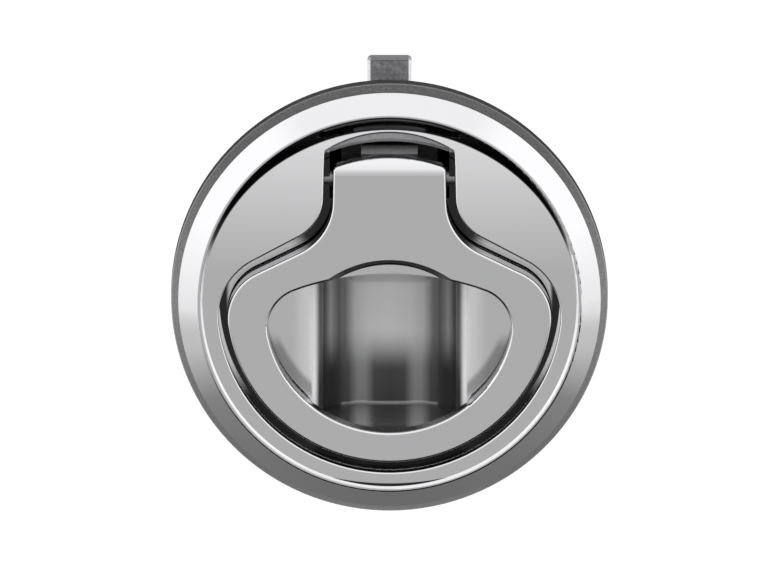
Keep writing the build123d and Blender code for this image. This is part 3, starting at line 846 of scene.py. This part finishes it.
# Brightness of the studio by direction. Each band is a curve over height, from straight down (-1) to
# straight up (1), and the bands follow each other from the viewer's side to behind the door, turning
# from one to the next at each of the turns. A panel of its own stands on each side.
studio = {
    "bands": (
        ((-0.45, 0.01), (-0.30, 0.30), (-0.21, 0.47), (0.0, 0.66), (0.3, 0.95), (1.0, 1.1)),
        ((-0.5, 0.01), (-0.38, 0.3), (-0.25, 0.9), (0.0, 0.95), (1.0, 0.99)),
        ((-1.0, 0.165), (-0.8, 0.2), (-0.64, 0.25), (-0.45, 0.55), (-0.3, 0.76), (-0.2, 0.94), (0.5, 1.0),
         (1.0, 0.9)),
        ((-1.0, 0.15), (-0.75, 0.14), (-0.2, 0.27), (0.5, 0.14), (1.0, 0.12)),
        ((-1.0, 0.4), (0.0, 0.7), (1.0, 0.75)),
    ),
    "turns": ((-0.88, -0.5), (-0.03, 0.03), (0.15, 0.25), (0.6, 0.85)),
    "sidePanel": ((-0.62, 0.02), (-0.5, 0.3), (-0.3, 0.76), (-0.2, 0.94), (0.2, 1.13), (0.7, 1.13),
                  (1.0, 0.98)),
    "sideTurn": (0.45, 0.65),
    "sideBefore": (0.0, -0.05),
    "strength": 1.32,
}


def makeWorld():
    # Paper panels all round, whose tones polished metal mirrors; the camera itself sees plain white
    world = bpy.data.worlds.new("studio")
    bpy.context.scene.world = world
    world.use_nodes = True
    tree = world.node_tree
    tree.nodes.clear()
    split = tree.nodes.new("ShaderNodeSeparateXYZ")
    tree.links.new(tree.nodes.new("ShaderNodeTexCoord").outputs["Generated"], split.inputs[0])
    x, y, z = split.outputs
    whole, *bands = [toneCurve(tree, z, -1.0, 1.0, stops) for stops in studio["bands"]]
    for band, turn in zip(bands, studio["turns"]):
        whole = blendColours(tree, between(tree, y, *turn), whole, band)
    sides = where(tree, (calc(tree, "ABSOLUTE", x), *studio["sideTurn"]), (y, *studio["sideBefore"]))
    whole = blendColours(tree, sides, whole, toneCurve(tree, z, -1.0, 1.0, studio["sidePanel"]))
    ray = tree.nodes.new("ShaderNodeLightPath").outputs["Is Camera Ray"]
    background = tree.nodes.new("ShaderNodeBackground")
    tree.links.new(blendColours(tree, ray, whole, white), background.inputs["Color"])
    tree.links.new(blendValues(tree, ray, studio["strength"], 1.0), background.inputs["Strength"])
    output = tree.nodes.new("ShaderNodeOutputWorld")
    tree.links.new(background.outputs[0], output.inputs["Surface"])


# Places and sizes in metres
lamps = {
    "keyLamp": {"place": (-0.25, -0.55, 0.60), "size": 0.5, "power": 3.0},
    "fillLamp": {"place": (0.60, -0.45, 0.20), "size": 0.5, "power": 1.2},
    "backLamp": {"place": (0.30, 0.65, 0.45), "size": 0.5, "power": 3.0},
}


def makeLamp(name, lamp):
    # A soft lamp aimed at the latch, which polished metal doesn't mirror
    data = bpy.data.lights.new(name, "AREA")
    data.size = lamp["size"]
    data.energy = lamp["power"]
    made = bpy.data.objects.new(name, data)
    made.location = lamp["place"]
    made.rotation_mode = "QUATERNION"
    made.rotation_quaternion = (-Vector(lamp["place"])).to_track_quat("-Z", "Y")
    made.visible_glossy = False
    bpy.context.scene.collection.objects.link(made)


paper = {"height": -0.10, "half": 6.0, "colour": (0.86, 0.86, 0.86, 1.0), "glow": 0.8}


def makeFloor():
    # White paper far below, whose own glow hides most of the lamps' shading from the camera
    half = paper["half"]
    corners = [(-half, -half), (half, -half), (half, half), (-half, half)]
    mesh = bpy.data.meshes.new("studioFloor")
    mesh.from_pydata([(*corner, paper["height"]) for corner in corners], [], [(0, 1, 2, 3)])
    material = bpy.data.materials.new("floorPaper")
    material.use_nodes = True
    tree = material.node_tree
    tree.nodes.clear()
    matt = addNode(tree, "ShaderNodeBsdfDiffuse", inputs={"Color": paper["colour"]})
    glow = addNode(tree, "ShaderNodeEmission", inputs={"Color": white})
    ray = tree.nodes.new("ShaderNodeLightPath").outputs["Is Camera Ray"]
    mix = tree.nodes.new("ShaderNodeMixShader")
    tree.links.new(calc(tree, "MULTIPLY", ray, paper["glow"]), mix.inputs[0])
    tree.links.new(matt.outputs[0], mix.inputs[1])
    tree.links.new(glow.outputs[0], mix.inputs[2])
    output = tree.nodes.new("ShaderNodeOutputMaterial")
    tree.links.new(mix.outputs[0], output.inputs["Surface"])
    mesh.materials.append(material)
    floor = bpy.data.objects.new("studioFloor", mesh)
    floor.visible_glossy = False     # polished metal sees the panels below instead
    bpy.context.scene.collection.objects.link(floor)


makeCamera()
makeWorld()
for name, lamp in lamps.items():
    makeLamp(name, lamp)
makeFloor()
bpy.context.scene.view_settings.view_transform = "Standard"
print("studio set")
